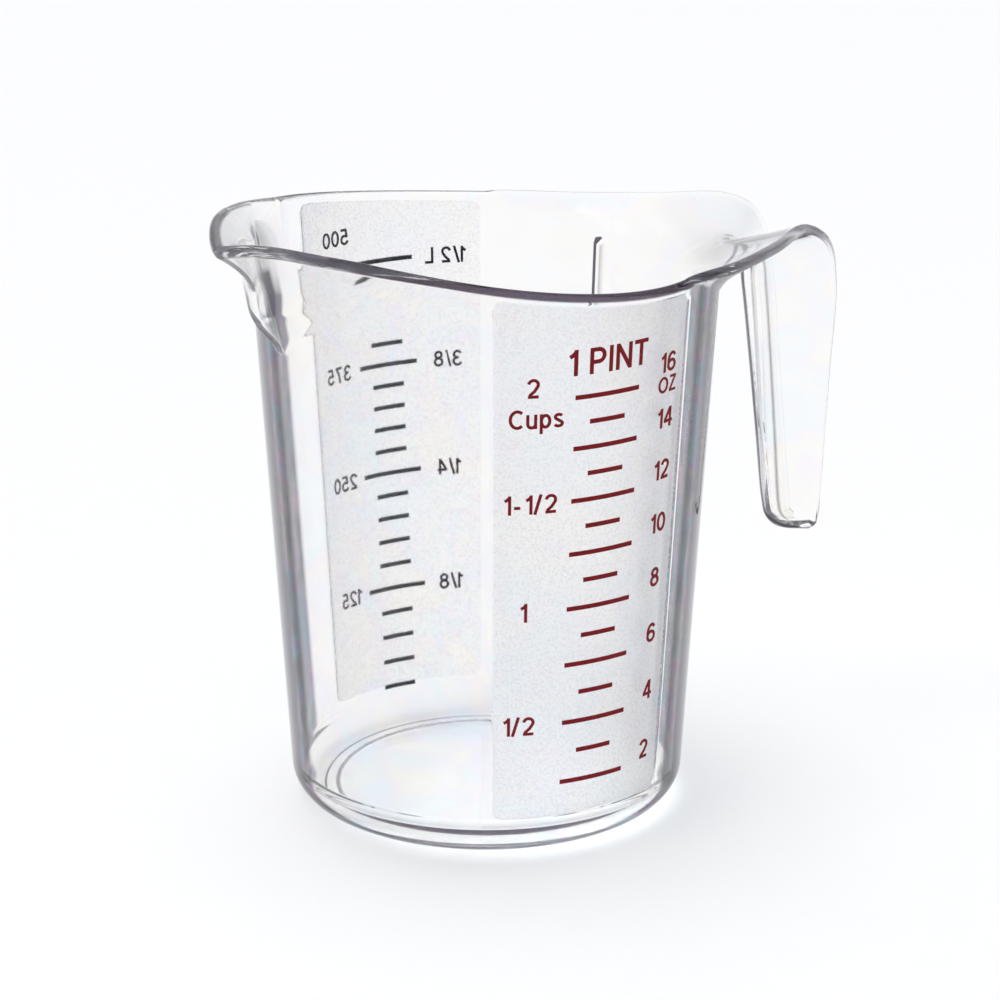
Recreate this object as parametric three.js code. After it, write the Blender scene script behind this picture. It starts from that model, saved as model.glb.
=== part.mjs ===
import * as THREE from "three";

// One-pint measuring jug, moulded in one piece from clear plastic, with two printed scales.
// Millimetres, standing on z = 0. Handle towards +X, spout towards -X.
// The ounce scale faces -Y and the metric scale faces +Y.

// Vessel
const baseRadius = 39.45; // outside of the wall, carried down to the table
const wallTaper = 0.062; // growth of the radius per millimetre of height
const wallThickness = 2.3;
const floorThickness = 2;
const cornerRadius = 6.86; // outside, between the foot ring and the wall
const footWidth = 2;
const footRecess = 0.6;
const footStep = 0.6; // sloped inner side of the foot ring

// Rim
const rimHeadroom = 12.6; // rim beside the handle, above the top line of the metric scale
const spoutRise = 9.4; // the rim at the spout stands this much above the rim beside the handle
const edgeBulge = 0.6; // how far the rounded free edge stands out, as a share of half the wall

// Spout, angles in degrees from its middle
const spoutReach = 58.6;
const spoutSpread = 52;
const spoutNose = 2.5;
const spoutTipDrop = 2.9;
const spoutTipSpread = 18;
const lipHeight = 8.5;
const channelDepth = 4.6;
const channelSpread = 38;
const channelLength = 21;
const channelFade = 8;

// Handle: a bridge that leaves the wall and a grip that hangs from it, one channel open outwards
const rootDrop = 12; // below the rim, where the wall starts to turn out under the bridge
const bridgeDrop = 6.2; // below the rim, underside of the bridge
const crestDrop = 1.3; // below the rim, outer end of the bridge's edges
const bridgeSag = 0.9; // how far the bridge's edges dip on their way out
const bridgeBow = 1; // and how far they swell sideways
const handleReach = 75.05; // open side of the grip, from the vessel's axis
const edgeBendOut = 9.35;
const edgeBendDown = 12.5;
const bridgeWidth = 31.3;
const gripWidthTop = 26.5;
const gripWidthFoot = 14.5;
const gripDepthTop = 12.4;
const gripDepthFoot = 8.8;
const webWidthTop = 7; // flat middle of the channel, between its slanted flanks
const webWidthFoot = 4;
const foldRound = 1.6; // between the web and the flanks
const gripLean = 1.5; // the grip's top stands this much nearer the vessel than its foot
const handleBottom = 43.4;
const gripFootDrop = 6.6; // height of the rounded foot
const footNarrowing = 0.38; // share of its width that the grip loses round its foot
const footEdgeLift = 0.7; // how much the foot's open edge stands above its web

// Stacking ribs inside, one each side of the handle
const ribAngle = 28.5;
const ribWidth = 1.3;
const ribHeight = 1.1;
const ribFlankWidth = 0.5;
const ribLength = 11; // below the place where the wall turns out

// Matt scale panels, slightly raised from the wall
const panelHalfAngle = 27.5;
const panelRise = 0.25;
const panelBottom = 8.7;
const panelTopGap = 1.7; // clear wall between panel and rim
const panelEdge = 0.3; // width of the sloped border
const panelClearAngle = 2; // least clear wall between a panel and the handle

// Printed scales
const inkThickness = 0.15;
const inkGap = 0.06;
const lineHeight = 0.9;
const longLine = 14;
const shortLine = 7.6;
const ounceMillilitres = 29.5735;
const ounceMarks = 16;
const ounceFirst = 2;
const metricTop = 500; // millilitres
const metricQuarters = 4;
const metricSteps = 5; // lines in a quarter, the last of them long
const metricBareSteps = 3; // lines left out below the top one
const lineStep = 2.4; // longest straight piece of a line
const ounceScaleAngle = -88.5;
const metricScaleAngle = 90;

const degrees = Math.PI / 180;
const slopeLength = Math.hypot(1, wallTaper);
const footOuterRadius = baseRadius - cornerRadius * (slopeLength - wallTaper);
const footInnerRadius = footOuterRadius - footWidth;
const floorTop = footRecess + floorThickness;
const coveRadius = cornerRadius - wallThickness;
const innerBaseRadius = baseRadius - wallThickness * slopeLength;
const slopeAngle = Math.atan(wallTaper);

function wallRadius(height) {
  return baseRadius + wallTaper * height;
}

function innerRadius(height) {
  return innerBaseRadius + wallTaper * height;
}

// Height to which a volume in millilitres fills the vessel.
function fillHeight(millilitres) {
  const coveArea = (1 - Math.PI / 4) * coveRadius * coveRadius;
  const coveVolume = coveArea * 2 * Math.PI * (innerRadius(floorTop) - 0.22 * coveRadius);
  const volume = millilitres * 1000 + coveVolume;
  const cube = innerRadius(floorTop) ** 3 + (3 * wallTaper * volume) / Math.PI;
  return (Math.cbrt(cube) - innerBaseRadius) / wallTaper;
}

const rimHeightHandle = fillHeight(metricTop) + rimHeadroom;
const rimHeightSpout = rimHeightHandle + spoutRise;
const rootHeight = rimHeightHandle - rootDrop;
const bridgeHeight = rimHeightHandle - bridgeDrop;
const crestHeight = rimHeightHandle - crestDrop;
const gripFootHeight = handleBottom + gripFootDrop;
const ribBottom = rootHeight - ribLength;
const panelStart = 90 - panelHalfAngle;
const panelEnd = 90 + panelHalfAngle;

// Angle in degrees, from the handle's middle, where the rim leaves the vessel for the bridge on a tangent.
function tangentAngle() {
  const bridgeLength = handleReach - edgeBendOut;
  const distance = Math.hypot(bridgeLength, bridgeWidth / 2);
  const rimShare = Math.min(1, wallRadius(rimHeightHandle) / distance);
  return (Math.atan2(bridgeWidth / 2, bridgeLength) + Math.acos(rimShare)) / degrees;
}

const handleSpread = Math.min(tangentAngle(), panelStart - panelClearAngle);

function smooth(value) {
  const t = THREE.MathUtils.clamp(value, 0, 1);
  return t * t * (3 - 2 * t);
}

function onVessel(angle, radius, height) {
  return new THREE.Vector3(radius * Math.cos(angle), radius * Math.sin(angle), height);
}

// Rim height at an angle in degrees from the handle: low beside the handle, high at the spout.
function rimHeight(angle) {
  const fromSpout = 180 - Math.abs(angle);
  const rise = smooth(1 - fromSpout / (180 - handleSpread));
  const droop = Math.max(0, 1 - fromSpout / spoutTipSpread);
  const height = rimHeightHandle + (rimHeightSpout - rimHeightHandle) * rise;
  return height - spoutTipDrop * droop * droop;
}

// How far the spout pushes the wall out, at a depth below the rim.
function spoutFlare(angle, depth) {
  const fromSpout = 180 - Math.abs(angle);
  if (fromSpout >= spoutSpread) {
    return 0;
  }
  const rounded = Math.hypot(fromSpout, spoutNose) - spoutNose;
  const reach = spoutReach - wallRadius(rimHeightSpout);
  const atRim = reach * Math.pow(Math.max(0, 1 - rounded / spoutSpread), 1.6);
  const rimChannel = channelDepth * Math.max(0, 1 - (fromSpout / channelSpread) ** 2) ** 2;
  const lip = Math.max(0, atRim - rimChannel) * Math.max(0, 1 - depth / lipHeight) ** 2;
  const left = Math.max(0, 1 - depth / channelLength);
  if (left === 0) {
    return lip;
  }
  const spread = channelSpread * Math.pow(left, 0.7);
  const across = Math.max(0, 1 - (fromSpout / spread) ** 2) ** 2;
  const fade = smooth((channelLength - depth) / channelFade);
  return lip + Math.min(atRim, channelDepth) * across * fade;
}

// Angles of the columns of the skin from the handle to the spout, on one side.
function spaced(from, to, count) {
  return Array.from({ length: count }, (_, i) => from + ((to - from) * (i + 1)) / count);
}

const ribHalf = ribWidth / 2 / innerRadius(rootHeight) / degrees;
const ribFlank = ribHalf + ribFlankWidth / innerRadius(rootHeight) / degrees;
const panelEdgeAngle = panelEdge / wallRadius(panelBottom) / degrees;
const halfAngles = [
  0,
  ...spaced(0, ribAngle - ribFlank, 6),
  ribAngle - ribHalf,
  ribAngle + ribHalf,
  ribAngle + ribFlank,
  ...spaced(ribAngle + ribFlank, handleSpread, 5),
  ...spaced(handleSpread, panelStart, 2),
  panelStart + panelEdgeAngle,
  ...spaced(panelStart + panelEdgeAngle, panelEnd - panelEdgeAngle, 14),
  panelEnd,
  ...spaced(panelEnd, 180 - spoutSpread, 3),
  ...spaced(180 - spoutSpread, 180, 18),
];
const angles = [...halfAngles.slice(1, -1).map((a) => -a).reverse(), ...halfAngles];
const columnCount = angles.length;
const isHandle = angles.map((a) => Math.abs(a) <= handleSpread + 1e-9);
const firstHandle = isHandle.indexOf(true);
const lastHandle = isHandle.lastIndexOf(true);

// Rise of the line where the bridge begins, from the handle's middle to where the rim leaves the vessel.
function rootArch(share) {
  return Math.pow(share, 1.4);
}

// Top of the plain wall in a column: the rim, or the line where the handle's bridge begins.
function wallTop(angle) {
  const share = Math.abs(angle) / handleSpread;
  if (share >= 1) {
    return rimHeight(angle);
  }
  return rootHeight + (rimHeightHandle - rootHeight) * rootArch(share);
}

// Heights of the wall's rows in a column, from the base corner up.
const cornerTop = cornerRadius * (1 - Math.sin(slopeAngle));
function rowHeights(angle) {
  const top = wallTop(angle);
  const low = [cornerTop, panelBottom - panelEdge, panelBottom];
  const plain = spaced(panelBottom, ribBottom, 4);
  const flared = spaced(ribBottom, top - panelTopGap, 6);
  return [...low, ...plain, ...flared, top - panelTopGap + panelEdge, top];
}
const wallRows = rowHeights(0).length;
const panelLowRow = 2;
const panelHighRow = wallRows - 3;
const ribLowRow = panelLowRow + 4;
const ribHighRow = wallRows - 1;

// Stations along the handle: the middle of its web, and its free edge on one side.
function bend(from, to, turn) {
  const out = Math.sin(turn * degrees);
  const down = 1 - Math.cos(turn * degrees);
  return from.clone().add(new THREE.Vector3(
    (to.x - from.x) * out,
    (to.y - from.y) * turn / 90,
    (to.z - from.z) * down,
  ));
}

function handleStations() {
  const root = onVessel(handleSpread * degrees, wallRadius(rimHeightHandle), rimHeightHandle);
  const bendStart = new THREE.Vector3(handleReach - edgeBendOut, bridgeWidth / 2, crestHeight);
  const gripTop = new THREE.Vector3(
    handleReach - gripLean,
    gripWidthTop / 2,
    crestHeight - edgeBendDown,
  );
  const gripFoot = new THREE.Vector3(handleReach, gripWidthFoot / 2, gripFootHeight);
  const wallRoot = new THREE.Vector3(wallRadius(rootHeight), 0, rootHeight);
  const bridgeRise = bridgeHeight - rootHeight;
  const webTop = gripTop.clone().setX(gripTop.x - gripDepthTop).setY(0);
  const webFoot = gripFoot.clone().setX(gripFoot.x - gripDepthFoot).setY(0);
  const bridgeEnd = new THREE.Vector3(webTop.x - 0.7 * bridgeRise, 0, bridgeHeight);
  const bridgeLine = bendStart.clone().sub(root);
  const swell = new THREE.Vector3(-bridgeLine.y, bridgeLine.x, 0).setLength(bridgeBow).setZ(-bridgeSag);
  const edges = [
    root,
    root.clone().lerp(bendStart, 0.34).add(swell),
    root.clone().lerp(bendStart, 0.68).addScaledVector(swell, 0.7),
    bendStart,
    bend(bendStart, gripTop, 42),
    gripTop,
    gripTop.clone().lerp(gripFoot, 0.36),
    gripTop.clone().lerp(gripFoot, 0.7),
    gripFoot,
  ];
  const webs = [
    wallRoot,
    wallRoot.clone().add(new THREE.Vector3(0.22 * bridgeRise, 0, 0.66 * bridgeRise)),
    wallRoot.clone().add(new THREE.Vector3(0.95 * bridgeRise, 0, bridgeRise)),
    bridgeEnd,
    bend(bridgeEnd, webTop, 50).setY(0),
    webTop.clone().setZ(webTop.z - 1.5),
    webTop.clone().lerp(webFoot, 0.36),
    webTop.clone().lerp(webFoot, 0.7),
    webFoot,
  ];
  const footSteps = 3;
  for (let step = 1; step <= footSteps; step += 1) {
    const turn = (90 * degrees * step) / footSteps;
    const level = gripFootHeight - gripFootDrop * Math.sin(turn);
    const halfWidth = (gripWidthFoot / 2) * (1 - footNarrowing * (1 - Math.cos(turn)));
    const depth = gripDepthFoot * Math.cos(0.9 * turn);
    edges.push(new THREE.Vector3(handleReach, halfWidth, level + footEdgeLift));
    webs.push(new THREE.Vector3(handleReach - depth, 0, level));
  }
  return { edges, webs };
}

// The handle's rows: sections that change from the vessel's arc into a channel with slanted flanks.
const { edges, webs } = handleStations();
const edgePath = new THREE.CatmullRomCurve3(edges);
const webPath = new THREE.CatmullRomCurve3(webs);
const rowsPerStation = 2;
const handleRows = (edges.length - 1) * rowsPerStation;
const gripTopStation = 5;
const gripFootStation = 8;

// Rise of the channel's section from its web to its free edge, at a share of its half width.
function flankRise(across, webShare, roundShare) {
  const ramp = (place) => place - webShare + Math.hypot(place - webShare, roundShare);
  return (ramp(across) - ramp(0)) / (ramp(1) - ramp(0));
}

function handlePoint(row, angle) {
  const along = row / handleRows;
  const edge = edgePath.getPoint(along);
  const web = webPath.getPoint(along);
  const side = Math.sign(angle);
  const share = Math.min(1, Math.abs(angle) / handleSpread);
  const spread = handleSpread * degrees;
  const station = THREE.MathUtils.clamp(row / rowsPerStation, gripTopStation, gripFootStation);
  const down = (station - gripTopStation) / (gripFootStation - gripTopStation);
  const webHalf = THREE.MathUtils.lerp(webWidthTop, webWidthFoot, down) / 2;
  const arcAcross = Math.sin(share * spread) / Math.sin(spread);
  const arcDepth = (1 - Math.cos(share * spread)) / (1 - Math.cos(spread));
  const channelRise = flankRise(share, webHalf / edge.y, foldRound / edge.y);
  const change = smooth(row / (rowsPerStation * 4));
  const across = THREE.MathUtils.lerp(arcAcross, share, change);
  const depth = THREE.MathUtils.lerp(arcDepth, channelRise, change);
  const height = THREE.MathUtils.lerp(rootArch(share), channelRise, change);
  return new THREE.Vector3(
    THREE.MathUtils.lerp(web.x, edge.x, depth),
    side * edge.y * across,
    THREE.MathUtils.lerp(web.z, edge.z, height),
  );
}

// Outside skin of the wall and of the handle, one list of points per column.
function skinColumn(angle, handle) {
  const top = wallTop(angle);
  const column = rowHeights(angle).map((height) => {
    const radius = wallRadius(height) + spoutFlare(angle, top - height);
    return onVessel(angle * degrees, radius, height);
  });
  if (handle) {
    for (let row = 1; row <= handleRows; row += 1) {
      column.push(handlePoint(row, angle));
    }
  }
  return column;
}

const skin = angles.map((angle, j) => skinColumn(angle, isHandle[j]));

function nextColumn(j) {
  return (j + 1) % columnCount;
}

function sharedRows(j, k) {
  return Math.min(skin[j].length, skin[k].length);
}

function skinNormals() {
  const normals = skin.map((column) => column.map(() => new THREE.Vector3()));
  const across = new THREE.Vector3();
  const along = new THREE.Vector3();
  for (let j = 0; j < columnCount; j += 1) {
    const k = nextColumn(j);
    for (let i = 0; i + 1 < sharedRows(j, k); i += 1) {
      across.subVectors(skin[k][i + 1], skin[j][i]);
      along.subVectors(skin[j][i + 1], skin[k][i]);
      across.cross(along);
      normals[j][i].add(across);
      normals[k][i].add(across);
      normals[j][i + 1].add(across);
      normals[k][i + 1].add(across);
    }
  }
  normals.forEach((column) => column.forEach((normal) => normal.normalize()));
  return normals;
}

const normals = skinNormals();

function onPanel(angle, row) {
  const fromMiddle = Math.abs(Math.abs(angle) - 90);
  const inside = fromMiddle <= panelHalfAngle - panelEdgeAngle + 1e-9;
  return inside && row >= panelLowRow && row <= panelHighRow;
}

function onRib(angle, row) {
  const fromMiddle = Math.abs(Math.abs(angle) - ribAngle);
  return fromMiddle <= ribHalf + 1e-9 && row >= ribLowRow && row <= ribHighRow;
}

function moulding() {
  const points = [];
  const faces = [];
  function addPoint(point) {
    points.push(point.x, point.y, point.z);
    return points.length / 3 - 1;
  }
  function addQuad(a, b, c, d) {
    faces.push(a, b, c, a, c, d);
  }

  // Underside: recess, foot ring and rounded corner
  const underside = [
    [footInnerRadius - footStep, footRecess],
    [footInnerRadius, 0],
    [footOuterRadius, 0],
  ];
  const cornerSteps = 5;
  for (let step = 1; step < cornerSteps; step += 1) {
    const turn = ((Math.PI / 2 - slopeAngle) * step) / cornerSteps;
    underside.push([
      footOuterRadius + cornerRadius * Math.sin(turn),
      cornerRadius * (1 - Math.cos(turn)),
    ]);
  }

  // Inside: cove and floor
  const coveHeight = floorTop + coveRadius;
  const coveCentre = innerRadius(coveHeight) - coveRadius * slopeLength;
  const coveSteps = 4;
  const inside = [];
  for (let step = 1; step <= coveSteps; step += 1) {
    const turn = ((Math.PI / 2 - slopeAngle) * (coveSteps - step)) / coveSteps;
    inside.push([
      coveCentre + coveRadius * Math.sin(turn),
      coveHeight - coveRadius * Math.cos(turn),
    ]);
  }

  const outer = skin.map((column, j) => {
    const angle = angles[j] * degrees;
    const low = underside.map(([radius, height]) => addPoint(onVessel(angle, radius, height)));
    const high = column.map((point, i) => {
      const rise = onPanel(angles[j], i) ? panelRise : 0;
      return addPoint(point.clone().addScaledVector(normals[j][i], rise));
    });
    return [...low, ...high];
  });
  const inner = skin.map((column, j) => {
    const angle = angles[j] * degrees;
    const low = inside.map(([radius, height]) => addPoint(onVessel(angle, radius, height)));
    const high = column.map((point, i) => {
      const depth = wallThickness + (onRib(angles[j], i) ? ribHeight : 0);
      return addPoint(point.clone().addScaledVector(normals[j][i], -depth));
    });
    return [...low.reverse(), ...high];
  });

  for (let j = 0; j < columnCount; j += 1) {
    const k = nextColumn(j);
    for (let i = 0; i + 1 < Math.min(outer[j].length, outer[k].length); i += 1) {
      addQuad(outer[j][i], outer[k][i], outer[k][i + 1], outer[j][i + 1]);
    }
    for (let i = 0; i + 1 < Math.min(inner[j].length, inner[k].length); i += 1) {
      addQuad(inner[j][i + 1], inner[k][i + 1], inner[k][i], inner[j][i]);
    }
  }

  const underMiddle = addPoint(new THREE.Vector3(0, 0, footRecess));
  const floorMiddle = addPoint(new THREE.Vector3(0, 0, floorTop));
  for (let j = 0; j < columnCount; j += 1) {
    const k = nextColumn(j);
    faces.push(underMiddle, outer[k][0], outer[j][0]);
    faces.push(floorMiddle, inner[j][0], inner[k][0]);
  }

  // Free edge: along the rim, out along one side of the handle, round its foot and back
  const rim = wallRows - 1;
  const last = rim + handleRows;
  const loop = [];
  for (let step = 0; step <= columnCount - (lastHandle - firstHandle); step += 1) {
    loop.push([(lastHandle + step) % columnCount, rim]);
  }
  for (let i = rim + 1; i <= last; i += 1) {
    loop.push([firstHandle, i]);
  }
  for (let j = firstHandle + 1; j <= lastHandle; j += 1) {
    loop.push([j, last]);
  }
  for (let i = last - 1; i > rim; i -= 1) {
    loop.push([lastHandle, i]);
  }

  function outwards(j, i) {
    const direction = new THREE.Vector3();
    const point = skin[j][i];
    if (i === skin[j].length - 1) {
      direction.add(point.clone().sub(skin[j][i - 1]).normalize());
    }
    if (i >= rim && j === firstHandle) {
      direction.add(point.clone().sub(skin[j + 1][i]).normalize());
    }
    if (i >= rim && j === lastHandle) {
      direction.add(point.clone().sub(skin[j - 1][i]).normalize());
    }
    return direction.normalize();
  }

  const lowRows = underside.length;
  const coveRows = inside.length;
  const strips = loop.map(([j, i]) => {
    const outside = skin[j][i];
    const half = wallThickness / 2;
    const middle = outside.clone().addScaledVector(normals[j][i], -half);
    const direction = outwards(j, i);
    const rounded = [45, 90, 135].map((turn) => {
      const point = middle.clone();
      point.addScaledVector(normals[j][i], half * Math.cos(turn * degrees));
      point.addScaledVector(direction, half * edgeBulge * Math.sin(turn * degrees));
      return addPoint(point);
    });
    return [outer[j][lowRows + i], ...rounded, inner[j][coveRows + i]];
  });
  strips.forEach((strip, n) => {
    const next = strips[(n + 1) % strips.length];
    for (let i = 0; i + 1 < strip.length; i += 1) {
      addQuad(strip[i], next[i], next[i + 1], strip[i + 1]);
    }
  });

  const geometry = new THREE.BufferGeometry();
  geometry.setAttribute("position", new THREE.Float32BufferAttribute(points, 3));
  geometry.setIndex(faces);
  return geometry;
}

// One printed line that follows the panel, at a height and with a length along the wall.
function printedLine(middleAngle, height, length) {
  const points = [];
  const faces = [];
  const low = height - lineHeight / 2;
  const high = height + lineHeight / 2;
  const halfTurn = length / 2 / wallRadius(height);
  const stand = panelRise + inkGap;
  const lineSegments = Math.ceil(length / lineStep);
  for (let step = 0; step <= lineSegments; step += 1) {
    const angle = middleAngle * degrees + halfTurn * ((2 * step) / lineSegments - 1);
    for (const [level, rise] of [
      [low, stand],
      [low, stand + inkThickness],
      [high, stand + inkThickness],
      [high, stand],
    ]) {
      const point = onVessel(angle, wallRadius(level) + rise * slopeLength, level);
      points.push(point.x, point.y, point.z);
    }
  }
  for (let step = 0; step < lineSegments; step += 1) {
    for (let side = 0; side < 4; side += 1) {
      const a = step * 4 + side;
      const b = step * 4 + ((side + 1) % 4);
      faces.push(a, a + 4, b + 4, a, b + 4, b);
    }
  }
  const end = lineSegments * 4;
  faces.push(0, 1, 2, 0, 2, 3);
  faces.push(end, end + 2, end + 1, end, end + 3, end + 2);
  const geometry = new THREE.BufferGeometry();
  geometry.setAttribute("position", new THREE.Float32BufferAttribute(points, 3));
  geometry.setIndex(faces);
  return geometry;
}

const clearPlastic = new THREE.MeshStandardMaterial({
  color: 0xe6e6ec,
  roughness: 0.08,
  metalness: 0,
  transparent: true,
  opacity: 0.45,
});
const redInk = new THREE.MeshStandardMaterial({ color: 0x7d1a1e, roughness: 0.55, metalness: 0 });
const blueInk = new THREE.MeshStandardMaterial({ color: 0x262b40, roughness: 0.55, metalness: 0 });

const jug = new THREE.Group();
jug.name = "measuring_jug";

function addMesh(name, geometry, material) {
  const mesh = new THREE.Mesh(geometry, material);
  mesh.name = name;
  jug.add(mesh);
}

addMesh("jug_moulding", moulding(), clearPlastic);

for (let ounce = ounceFirst; ounce <= ounceMarks; ounce += 1) {
  const length = ounce % 2 === 0 ? longLine : shortLine;
  const height = fillHeight(ounce * ounceMillilitres);
  const name = "line_ounce_" + String(ounce).padStart(2, "0");
  addMesh(name, printedLine(ounceScaleAngle, height, length), redInk);
}

const metricMarks = metricQuarters * metricSteps;
for (let mark = 1; mark <= metricMarks; mark += 1) {
  const fromTop = metricMarks - mark;
  if (fromTop > 0 && fromTop <= metricBareSteps) {
    continue;
  }
  const length = mark % metricSteps === 0 ? longLine : shortLine;
  const height = fillHeight((metricTop * mark) / metricMarks);
  const name = "line_metric_" + String(mark).padStart(2, "0");
  addMesh(name, printedLine(metricScaleAngle, height, length), blueInk);
}

export default jug;
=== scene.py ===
import bmesh
import bpy
import math
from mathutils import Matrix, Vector, geometry


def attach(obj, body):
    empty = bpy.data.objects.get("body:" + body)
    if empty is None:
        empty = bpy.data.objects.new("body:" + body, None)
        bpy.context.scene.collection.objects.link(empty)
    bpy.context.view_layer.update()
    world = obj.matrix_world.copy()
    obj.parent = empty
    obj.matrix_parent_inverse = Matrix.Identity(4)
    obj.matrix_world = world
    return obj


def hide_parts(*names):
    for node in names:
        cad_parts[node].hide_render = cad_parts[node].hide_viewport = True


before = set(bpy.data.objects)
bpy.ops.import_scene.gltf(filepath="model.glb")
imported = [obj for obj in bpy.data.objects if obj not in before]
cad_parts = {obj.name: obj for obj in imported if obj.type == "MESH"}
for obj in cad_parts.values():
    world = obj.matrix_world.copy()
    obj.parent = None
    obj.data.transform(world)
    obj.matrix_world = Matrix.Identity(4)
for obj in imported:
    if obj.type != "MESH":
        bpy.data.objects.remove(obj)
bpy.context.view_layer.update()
print("frame:", len(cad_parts), "nodes")

# sizes are in millimetres and degrees, as in the part's source; meshes turn them into metres
mm = 0.001

vessel = {
    "baseRadius": 39.45,  # outside of the wall, carried down to the table
    "wallTaper": 0.062,
    "wallThickness": 2.3,
    "floorThickness": 2.0,
    "cornerRadius": 6.86,
    "footWidth": 2.0,
    "footRecess": 0.6,
    "footStep": 0.6,
    "footSoft": 0.1,  # rounding of the ring's edges, and how high it goes
    "footLift": 0.04,
    "footGroove": 0.34,  # shallow groove round the foot ring
    "grooveWidth": 0.35,
    "grooveEnd": 0.6,
    "topMillilitres": 500,
    "rimHeadroom": 12.14,  # start of the rounded rim beside the handle, above the top line
    "spoutRise": 9.4,
    "edgeBulge": 1.0,  # a full round
    "heelTop": 8.0,  # a fine step inside, under the foot of the panels
    "heelStep": 0.16,
    "heelSlope": 0.3,
}
slopeLength = math.hypot(1, vessel["wallTaper"])
slopeAngle = math.atan(vessel["wallTaper"])
footOuter = vessel["baseRadius"] - vessel["cornerRadius"] * (slopeLength - vessel["wallTaper"])
footInner = footOuter - vessel["footWidth"]
floorTop = vessel["footRecess"] + vessel["floorThickness"]
coveRadius = vessel["cornerRadius"] - vessel["wallThickness"]
innerBase = vessel["baseRadius"] - vessel["wallThickness"] * slopeLength


def wallRadius(height):
    return vessel["baseRadius"] + vessel["wallTaper"] * height


def innerRadius(height):
    return innerBase + vessel["wallTaper"] * height


def fillHeight(millilitres):
    coveArea = (1 - math.pi / 4) * coveRadius**2
    coveVolume = coveArea * 2 * math.pi * (innerRadius(floorTop) - 0.22 * coveRadius)
    volume = millilitres * 1000 + coveVolume
    cube = innerRadius(floorTop) ** 3 + 3 * vessel["wallTaper"] * volume / math.pi
    return (cube ** (1 / 3) - innerBase) / vessel["wallTaper"]


def smooth(value):
    t = min(1, max(0, value))
    return t * t * (3 - 2 * t)


def mix(a, b, share):
    return a + (b - a) * share


def onVessel(angle, radius, height):
    turn = math.radians(angle)
    return Vector((radius * math.cos(turn), radius * math.sin(turn), height))


rimHandle = fillHeight(vessel["topMillilitres"]) + vessel["rimHeadroom"]
rimSpout = rimHandle + vessel["spoutRise"]

panel = {
    "halfAngle": 27.5,
    "rise": 0.12,
    "bottom": 8.7,
    "topGap": 0.8,  # clear wall between panel and rim
    "edge": 0.35,
    "corner": 2.2,
    "clearAngle": 2,
}
panelStart = 90 - panel["halfAngle"]
panelEnd = 90 + panel["halfAngle"]

handle = {
    "rootDrop": 12,  # below the rim, where the wall turns out under the bridge
    "bridgeDrop": 6.2,
    "crestDrop": 1.2,
    "sag": 0.9,  # how far the bridge's edges dip on their way out
    "bow": 1.0,  # and how far they swell sideways
    "reach": 74.6,
    "bendOut": 9.2,
    "bendDown": 12.5,
    "bridgeWidth": 30.6,
    "widthTop": 25.8,
    "widthFoot": 13.8,
    "depthTop": 11.95,
    "depthFoot": 8.35,
    "webWidthTop": 7.0,  # flat middle of the channel
    "webWidthFoot": 4.0,
    "foldRound": 1.6,  # between the web and the flanks
    "lean": 1.5,
    "bottom": 43.4,
    "footDrop": 6.6,
    "footNarrowing": 0.38,
    "footEdgeLift": 0.7,
    "archCurve": 1.4,  # of the wall's top under the bridge
    "bridgeShares": (0.34, 0.68),  # stations on the bridge and on the grip, as shares of their length
    "gripShares": (0.36, 0.7),
    "edgeBend": 42,  # stations half round the bend
    "webBend": 50,
    "webTopDrop": 1.5,
    "channelStation": 4,  # where the bridge has become a channel
    "gripStations": (5, 8),  # top and foot of the grip
    "rowsPerStation": 7,
}
rootHeight = rimHandle - handle["rootDrop"]
bridgeHeight = rimHandle - handle["bridgeDrop"]
crestHeight = rimHandle - handle["crestDrop"]
gripFoot = handle["bottom"] + handle["footDrop"]


def tangentAngle():  # where the rim leaves the vessel for the bridge
    bridgeLength = handle["reach"] - handle["bendOut"]
    distance = math.hypot(bridgeLength, handle["bridgeWidth"] / 2)
    rimShare = min(1, wallRadius(rimHandle) / distance)
    return math.degrees(math.atan2(handle["bridgeWidth"] / 2, bridgeLength) + math.acos(rimShare))


handleSpread = min(tangentAngle(), panelStart - panel["clearAngle"])

spout = {
    "reach": 58.25,
    "spread": 52,
    "nose": 2.5,
    "tipDrop": 2.9,
    "tipSpread": 18,
    "lipHeight": 8.5,
    "channelDepth": 4.6,
    "channelSpread": 38,
    "channelLength": 21,
    "channelFade": 8,
    "flareCurve": 1.6,
    "channelCurve": 0.7,
}


def rimHeight(angle):
    fromSpout = 180 - abs(angle)
    rise = smooth(1 - fromSpout / (180 - handleSpread))
    droop = max(0, 1 - fromSpout / spout["tipSpread"])
    return mix(rimHandle, rimSpout, rise) - spout["tipDrop"] * droop**2


def spoutFlare(angle, depth):  # how far the spout pushes the wall out, at a depth below the rim
    fromSpout = 180 - abs(angle)
    if fromSpout >= spout["spread"]:
        return 0
    rounded = math.hypot(fromSpout, spout["nose"]) - spout["nose"]
    flare = max(0, 1 - rounded / spout["spread"]) ** spout["flareCurve"]
    atRim = (spout["reach"] - wallRadius(rimSpout)) * flare
    rimChannel = spout["channelDepth"] * max(0, 1 - (fromSpout / spout["channelSpread"]) ** 2) ** 2
    lip = max(0, atRim - rimChannel) * max(0, 1 - depth / spout["lipHeight"]) ** 2
    left = max(0, 1 - depth / spout["channelLength"])
    if left == 0:
        return lip
    spread = spout["channelSpread"] * left ** spout["channelCurve"]
    across = max(0, 1 - (fromSpout / spread) ** 2) ** 2
    fade = smooth((spout["channelLength"] - depth) / spout["channelFade"])
    return lip + min(atRim, spout["channelDepth"]) * across * fade


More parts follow.
